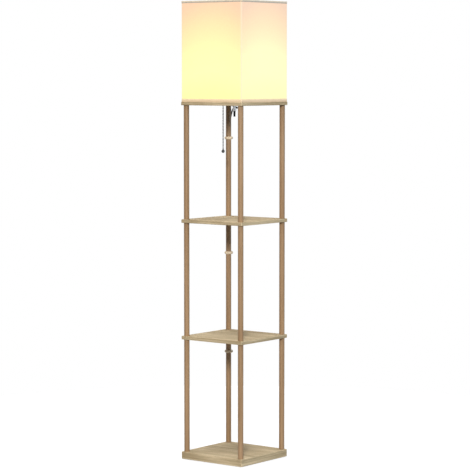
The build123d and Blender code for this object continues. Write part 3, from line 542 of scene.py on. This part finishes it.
# ------------------------------------------------------------ finishes
CLOTH_EXTENT = (BOARD_TOP, COVER_HIGH.z, COVER_HIGH.x)
finishes = {
    "oak_board": board_wood("oak_board", (0.37, 0.28, 0.16), (0.71, 0.57, 0.365)),
    "post_wood": turned_wood("post_wood", (0.255, 0.15, 0.072), (0.42, 0.262, 0.142), 0.42, 0.3),
    "ring_wood": turned_wood("ring_wood", (0.77, 0.60, 0.40), (0.92, 0.76, 0.54), 0.45),
    "felt": moulded("felt", (0.05, 0.045, 0.04), (0.09, 0.08, 0.07), 0.9, 2500.0, 0.4),
    "zinc": metal("zinc", (0.42, 0.42, 0.43), (0.62, 0.62, 0.62), 0.38),
    "white_wire": moulded("white_wire", (0.68, 0.66, 0.60), (0.80, 0.79, 0.75), 0.4),
    "socket_metal": metal("socket_metal", (0.55, 0.42, 0.20), (0.74, 0.60, 0.34), 0.33),
    "phenolic": moulded("phenolic", (0.012, 0.012, 0.012), (0.03, 0.03, 0.03), 0.25, coat=0.3),
    "brass": metal("brass", (0.60, 0.44, 0.18), (0.80, 0.62, 0.30), 0.26),
    "bulb_metal": metal("bulb_metal", (0.58, 0.58, 0.58), (0.76, 0.76, 0.76), 0.34),
    "bulb_insulation": moulded("bulb_insulation", (0.012, 0.012, 0.014), (0.03, 0.03, 0.035),
                               0.22, coat=0.3),
    "bulb_plastic": moulded("bulb_plastic", (0.72, 0.71, 0.68), (0.84, 0.83, 0.80), 0.42),
    "opal_globe": glowing("opal_globe", (1.0, 0.86, 0.60), 5.0),
    "black_nylon": moulded("black_nylon", (0.006, 0.006, 0.006), (0.016, 0.016, 0.016), 0.45,
                           specular=0.2),
    "chain_steel": metal("chain_steel", (0.045, 0.045, 0.045), (0.09, 0.09, 0.09), 0.38),
    "dark_metal": moulded("dark_metal", (0.025, 0.025, 0.025), (0.06, 0.06, 0.06), 0.38),
    "cord_pvc": moulded("cord_pvc", (0.006, 0.006, 0.006), (0.014, 0.014, 0.014), 0.42, 700.0,
                        specular=0.2),
    "tie_rubber": moulded("tie_rubber", (0.010, 0.010, 0.010), (0.025, 0.025, 0.025), 0.6),
    "shade_fabric": lit_cloth(
        "shade_fabric", (0.19, 0.17, 0.11), (0.23, 0.20, 0.14), CLOTH_EXTENT,
        [(0.0, (0.90, 0.84, 0.335)), (0.10, (0.90, 0.88, 0.345)), (0.30, (0.92, 0.90, 0.40)),
         (0.52, (0.90, 0.86, 0.385)), (0.62, (0.88, 0.78, 0.37)), (0.78, (0.86, 0.67, 0.35)),
         (0.90, (0.84, 0.58, 0.345)), (1.0, (0.82, 0.52, 0.35))],
        # right and rear sides: paler and bluer, which is painted light
        [(0.0, (0.90, 0.84, 0.45)), (0.10, (0.90, 0.88, 0.45)), (0.30, (0.92, 0.90, 0.50)),
         (0.52, (0.90, 0.86, 0.50)), (0.62, (0.88, 0.78, 0.475)), (0.78, (0.86, 0.67, 0.44)),
         (0.90, (0.84, 0.60, 0.425)), (1.0, (0.80, 0.55, 0.42))],
        # colour of the painted highlight on the folds
        (0.78, 0.66, 0.50)),
    # the hem's warm glow is the bulb's light through the doubled cloth; the rim's grey-blue glow
    # at the top is painted light
    "hem_fabric": lit_cloth(
        "hem_fabric", (0.46, 0.36, 0.23), (0.52, 0.42, 0.28), CLOTH_EXTENT,
        [(0.0, (0.36, 0.25, 0.16)), (0.1, (0.36, 0.25, 0.16)), (0.9, (0.16, 0.17, 0.18)),
         (1.0, (0.16, 0.17, 0.18))],
        [(0.0, (0.35, 0.26, 0.19)), (0.1, (0.35, 0.26, 0.19)), (0.9, (0.16, 0.18, 0.20)),
         (1.0, (0.16, 0.18, 0.20))],
        (0.30, 0.22, 0.16)),
}
slot_of = {p["node"]: p["material_slot"] for p in frame["record"]["subparts"]}
for name, piece in nodes.items():
    piece.data.materials.clear()
    piece.data.materials.append(finishes[slot_of[name]])
for piece, slot in ((cover, "shade_fabric"), (hem, "hem_fabric"), (rim, "hem_fabric")):
    piece.data.materials.append(finishes[slot])

# the cord stands for the solids of its run and its hank
flex.data.materials.append(finishes["cord_pvc"])
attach(flex, "root")
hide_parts("mains_cord", "cord_hank")

# ------------------------------------------------------------ stage
LAMP_MIDDLE = 0.8                       # height that the lights face
FLOOR_GLOW = 0.70                       # to the camera and in reflections only
FLOOR_RADIUS = 1.7
FLOOR_CORNERS = 96
LIGHTS = (
    # name, heading from -Y towards +X and elevation in degrees, distance, side, watts, colour
    ("key", 35.0, 19.0, 8.0, 1.12, 500.0, (1.0, 1.0, 1.0)),
    ("back", 238.0, 34.0, 8.0, 2.4, 170.0, (1.0, 1.0, 1.0)),
    ("fill", 100.0, 12.0, 4.0, 1.6, 26.0, (0.48, 0.74, 1.0)),
    ("top", 35.0, 80.0, 3.4, 3.0, 126.0, (1.0, 1.0, 1.0)),
)
SKY = 0.04                              # strength of the world's light on the lamp


def background_rays(add):
    """1 for rays from the camera, and for those off or through a piece."""
    path = add("ShaderNodeLightPath").outputs
    seen = math_node(add, "MAXIMUM", path["Is Camera Ray"], path["Is Glossy Ray"])
    return math_node(add, "MAXIMUM", seen, path["Is Transmission Ray"])


def make_floor():
    """Round white floor that keeps the lamp's shadow."""
    mesh = bpy.data.meshes.new("floor")
    turns = [math.tau * i / FLOOR_CORNERS for i in range(FLOOR_CORNERS)]
    rim_points = [(FLOOR_RADIUS * math.cos(turn), FLOOR_RADIUS * math.sin(turn), 0.0)
                  for turn in turns]
    mesh.from_pydata(rim_points, [], [tuple(range(FLOOR_CORNERS))])
    floor = placed("floor", mesh)
    material, shader, add, feed = new_material("floor")
    place = add("ShaderNodeTexCoord").outputs["Object"]
    mottle = noise(add, place, 3.0)
    feed("Base Color", ramp(add, mottle, [(0.3, (0.35, 0.35, 0.35)), (0.7, (0.38, 0.38, 0.38))]))
    feed("Roughness", between(add, mottle, 0.8, 0.9))
    shader.inputs["Emission Color"].default_value = (1, 1, 1, 1)
    feed("Emission Strength", between(add, background_rays(add), 0.0, FLOOR_GLOW, 0.0, 1.0))
    floor.data.materials.append(material)


def area_light(name, heading_degrees, elevation_degrees, distance, side, watts, colour):
    """Square light, a distance from the lamp's middle, that faces it."""
    heading, elevation = math.radians(heading_degrees), math.radians(elevation_degrees)
    data = bpy.data.lights.new(name, "AREA")
    data.shape = "SQUARE"
    data.size = side
    data.energy = watts
    data.color = colour
    light = placed(name, data)
    out = Vector((math.sin(heading) * math.cos(elevation),
                  -math.cos(heading) * math.cos(elevation), math.sin(elevation)))
    light.location = Vector((0, 0, LAMP_MIDDLE)) + out * distance
    light.rotation_mode = "QUATERNION"
    light.rotation_quaternion = (-out).to_track_quat("-Z", "Y")


def make_world():
    """White behind the object, and a softer sky for its light."""
    world = bpy.data.worlds.new("world")
    bpy.context.scene.world = world
    world.use_nodes = True
    world.node_tree.nodes.clear()
    add = node_adder(world.node_tree)
    sky = add("ShaderNodeBackground", Color=(1, 1, 1, 1), Strength=SKY).outputs[0]
    white = add("ShaderNodeBackground", Color=(1, 1, 1, 1), Strength=1.0).outputs[0]
    mix = add("ShaderNodeMixShader", i0=background_rays(add), i1=sky, i2=white).outputs[0]
    add("ShaderNodeOutputWorld", Surface=mix)


make_floor()
for light_facts in LIGHTS:
    area_light(*light_facts)
make_world()
bpy.context.scene.view_settings.view_transform = "Standard"
